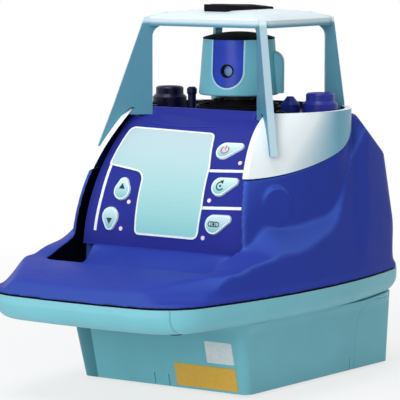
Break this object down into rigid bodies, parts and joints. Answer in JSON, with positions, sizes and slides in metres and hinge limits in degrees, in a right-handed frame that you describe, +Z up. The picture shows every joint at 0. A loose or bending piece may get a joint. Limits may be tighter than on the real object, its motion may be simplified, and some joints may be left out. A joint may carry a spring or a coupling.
{
  "type": "laser level",
  "caption": "Self-levelling rotary laser level with a spinning head in a crash cage, a curved keypad, a nose ledge, a battery drawer and a tripod thread.",
  "frame": {"origin": "mouth of the tripod thread, on the axis of the spinning head, at the plane that the feet stand on", "axes": "+Z up along the head axis, -Y to the front with the nose and the keypad, +X to the right of someone facing the keypad"},
  "size_m": [0.1716, 0.2673, 0.23],
  "materials": {
    "grey_housing": "fine satin grain",
    "blue_housing": "fine grain",
    "light_trim": "satin",
    "panel_blue": "satin",
    "overlay": "printed sheet",
    "keys": "soft satin",
    "lamps": "clear tinted",
    "black_rubber": "matt",
    "black_plastic": "fine grain",
    "blue_gloss": "gloss",
    "glass": "polished",
    "steel": "machined",
    "alloy": "die cast",
    "brass": "turned",
    "board": "solder mask",
    "cell_wrap": "shrink sleeve"
  },
  "bodies": {
    "housing": {"lower_housing": "grey_housing", "upper_housing": "blue_housing", "housing_seal": "black_rubber", "housing_screws": "steel", "collar": "light_trim", "control_panel": "panel_blue", "keypad_overlay": "overlay", "keypad_board": "board", "key_switches": "steel", "indicator_leds": "lamps", "cage": "light_trim", "cage_screws": "steel", "roof_grip_pad": "black_rubber", "deck_plate": "blue_housing", "deck_caps": "blue_gloss", "deck_studs": "blue_gloss", "bellows": "black_rubber", "bellows_ring": "black_plastic", "tripod_insert": "brass", "rubber_feet": "black_rubber", "chassis": "alloy", "gimbal_bushes": "brass", "main_board": "board", "leveling_motor_x": "black_plastic", "leveling_motor_y": "black_plastic", "battery_contacts": "steel"},
    "drawer": {"battery_cover": "grey_housing", "cover_gasket": "black_rubber", "cover_feet": "black_rubber", "battery_cradle": "black_plastic", "battery_cells": "cell_wrap"},
    "latch": {"latch_knob": "black_plastic", "latch_stud": "steel"},
    "gimbal": {"gimbal_ring": "alloy", "gimbal_pins": "steel"},
    "laser_unit": {"laser_frame": "alloy", "laser_diode": "brass", "collimator_lens": "glass", "level_vials": "glass", "spindle_bearings": "steel", "rotor_motor": "black_plastic", "drive_belt": "black_rubber", "bellows_cuff": "black_rubber"},
    "motor_drive": {"motor_pulley": "alloy"},
    "rotor": {"spindle": "steel", "spindle_pulley": "alloy", "rotor_shell": "grey_housing", "rotor_cap": "black_plastic", "window_panel": "blue_gloss", "aperture_lens": "glass", "aperture_barrel": "black_plastic", "pentaprism": "glass", "side_port": "grey_housing"},
    "plunger_x": {"leveling_plunger_x": "steel"},
    "plunger_y": {"leveling_plunger_y": "steel"},
    "power_key": {"key_power": "keys"},
    "speed_key": {"key_speed": "keys"},
    "manual_key": {"key_manual": "keys"},
    "up_key": {"key_up": "keys"},
    "down_key": {"key_down": "keys"}
  },
  "joints": [
    {"name": "battery_slide", "type": "slide", "parent": "housing", "child": "drawer", "axis": [0, 1, 0], "range_m": [0, 0.13]},
    {"name": "latch_turn", "type": "hinge", "parent": "drawer", "child": "latch", "pos_m": [0, 0.0835, 0.021], "axis": [0, 1, 0], "range_deg": [0, 720]},
    {"name": "tilt_x", "type": "hinge", "parent": "housing", "child": "gimbal", "pos_m": [0, 0, 0.14], "axis": [1, 0, 0], "range_deg": [-4, 4]},
    {"name": "tilt_y", "type": "hinge", "parent": "gimbal", "child": "laser_unit", "pos_m": [0, 0, 0.14], "axis": [0, 1, 0], "range_deg": [-4, 4]},
    {"name": "rotor_spin", "type": "hinge", "parent": "laser_unit", "child": "rotor", "pos_m": [0, 0, 0.19], "axis": [0, 0, 1], "continuous": true},
    {"name": "motor_spin", "type": "hinge", "parent": "laser_unit", "child": "motor_drive", "pos_m": [0.027, 0.027, 0.12], "axis": [0, 0, 1], "continuous": true},
    {"name": "plunger_x_slide", "type": "slide", "parent": "housing", "child": "plunger_x", "axis": [0, 0, 1], "range_m": [-0.0024, 0.0024]},
    {"name": "plunger_y_slide", "type": "slide", "parent": "housing", "child": "plunger_y", "axis": [0, 0, 1], "range_m": [-0.0024, 0.0024]},
    {"name": "power_press", "type": "slide", "parent": "housing", "child": "power_key", "axis": [0, 0.755, -0.6557], "range_m": [0, 0.0008], "stiffness_N_per_m": 900},
    {"name": "speed_press", "type": "slide", "parent": "housing", "child": "speed_key", "axis": [0, 0.9055, -0.4244], "range_m": [0, 0.0008], "stiffness_N_per_m": 900},
    {"name": "manual_press", "type": "slide", "parent": "housing", "child": "manual_key", "axis": [0, 0.9851, -0.1721], "range_m": [0, 0.0008], "stiffness_N_per_m": 900},
    {"name": "up_press", "type": "slide", "parent": "housing", "child": "up_key", "axis": [0, 0.9327, -0.3608], "range_m": [0, 0.0008], "stiffness_N_per_m": 900},
    {"name": "down_press", "type": "slide", "parent": "housing", "child": "down_key", "axis": [0, 0.9888, -0.1494], "range_m": [0, 0.0008], "stiffness_N_per_m": 900}
  ],
  "couplings": [
    {"joint": "motor_spin", "follows": "rotor_spin", "ratio": 3},
    {"joint": "plunger_x_slide", "follows": "tilt_x", "m_per_rad": -0.033},
    {"joint": "plunger_y_slide", "follows": "tilt_y", "m_per_rad": 0.033}
  ]
}
